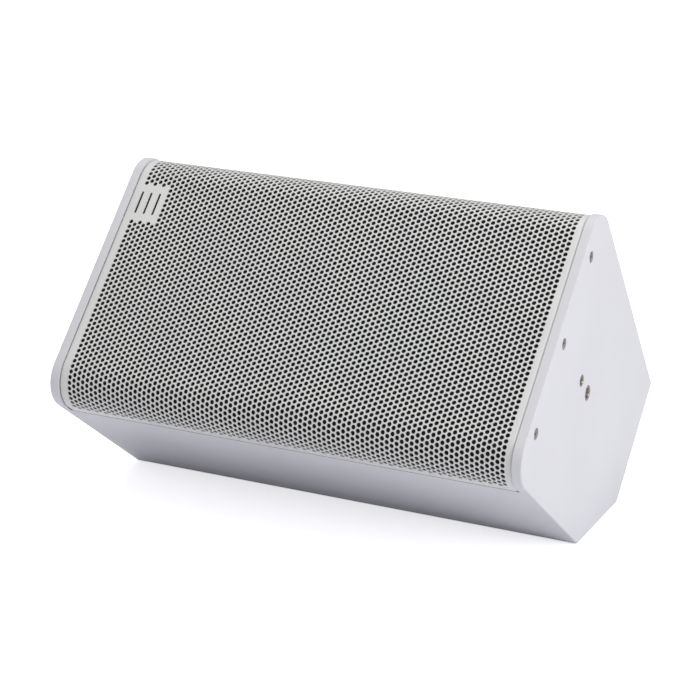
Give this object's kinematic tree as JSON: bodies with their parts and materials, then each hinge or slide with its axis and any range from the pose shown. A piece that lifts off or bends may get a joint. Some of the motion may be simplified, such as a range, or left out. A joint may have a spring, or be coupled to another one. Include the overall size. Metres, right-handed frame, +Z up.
{
  "type": "loudspeaker",
  "caption": "Compact two-way loudspeaker in a white wedge cabinet with a wrap-round perforated grille, resting tilted on its rear chamfer.",
  "frame": {"origin": "centre of the bounding box, on the ground plane that the chamfer rests on", "axes": "+X along the cabinet, from the woofer's end to the horn's end; +Z up, with the cabinet lying on its rear chamfer; the grille faces -Y and +Z, 45 degrees up"},
  "size_m": [0.434, 0.3252, 0.2823],
  "materials": {
    "painted_plywood": "fine white textured paint, satin",
    "bare_plywood": "plywood stained black",
    "grille_steel": "white powder coat, satin",
    "dark_foam": "open-cell foam",
    "dark_steel": "dark burnished steel",
    "cast_frame": "black coat",
    "rubber": "matt",
    "cone_paper": "coated pulp",
    "spider_cloth": "resin-treated cotton",
    "copper_winding": "enamelled copper wire",
    "plated_steel": "zinc plated",
    "ferrite": "ground ferrite",
    "titanium_foil": "bright foil",
    "black_plastic": "fine moulded grain",
    "black_plate": "black powder coat",
    "circuit_board": "solder mask",
    "capacitor_film": "epoxy dipped",
    "ceramic_body": "fired, unglazed",
    "wadding": "polyester wadding",
    "lead_sheath": "PVC sheath"
  },
  "bodies": {
    "cabinet": {"chamfer_panel": "painted_plywood", "connector_plate": "black_plate", "crossover_board": "circuit_board", "crossover_capacitor": "capacitor_film", "crossover_high_inductor": "copper_winding", "crossover_low_inductor": "copper_winding", "crossover_pad": "dark_foam", "crossover_resistor": "ceramic_body", "damping_lining": "wadding", "end_panel_left": "painted_plywood", "end_panel_right": "painted_plywood", "front_baffle": "bare_plywood", "grille": "grille_steel", "grille_foam": "dark_foam", "grille_screw_left_1": "dark_steel", "grille_screw_left_2": "dark_steel", "grille_screw_left_3": "dark_steel", "grille_screw_right_1": "dark_steel", "grille_screw_right_2": "dark_steel", "grille_screw_right_3": "dark_steel", "hf_lead": "lead_sheath", "hf_magnet": "ferrite", "hf_pole_piece": "plated_steel", "hf_rear_cover": "black_plastic", "hf_top_plate": "plated_steel", "horn": "black_plastic", "horn_screw_1": "dark_steel", "horn_screw_2": "dark_steel", "horn_screw_3": "dark_steel", "horn_screw_4": "dark_steel", "locating_insert_left": "dark_steel", "locating_insert_right": "dark_steel", "lower_wall": "painted_plywood", "plate_screw_1": "dark_steel", "plate_screw_2": "dark_steel", "port_tube_lower": "black_plastic", "port_tube_upper": "black_plastic", "rear_panel": "painted_plywood", "socket_in": "black_plastic", "socket_link": "black_plastic", "upper_wall": "painted_plywood", "window_brace": "bare_plywood", "woofer_basket": "cast_frame", "woofer_gasket": "rubber", "woofer_lead": "lead_sheath", "woofer_magnet": "ferrite", "woofer_screw_1": "dark_steel", "woofer_screw_2": "dark_steel", "woofer_screw_3": "dark_steel", "woofer_screw_4": "dark_steel", "woofer_spider": "spider_cloth", "woofer_surround": "rubber", "woofer_top_plate": "plated_steel", "woofer_yoke": "plated_steel", "yoke_insert_left": "dark_steel", "yoke_insert_right": "dark_steel"},
    "woofer_moving": {"woofer_cone": "cone_paper", "woofer_dust_cap": "cone_paper", "woofer_voice_coil": "copper_winding"},
    "hf_moving": {"hf_diaphragm": "titanium_foil"}
  },
  "joints": [
    {"name": "woofer_excursion", "type": "slide", "parent": "cabinet", "child": "woofer_moving", "axis": [0, -0.7071, 0.7071], "range_m": [-0.005, 0.005], "stiffness_N_per_m": 2200, "deforming": ["woofer_surround", "woofer_spider"]},
    {"name": "hf_excursion", "type": "slide", "parent": "cabinet", "child": "hf_moving", "axis": [0, -0.7071, 0.7071], "range_m": [-0.0003, 0.0003], "stiffness_N_per_m": 8000}
  ]
}
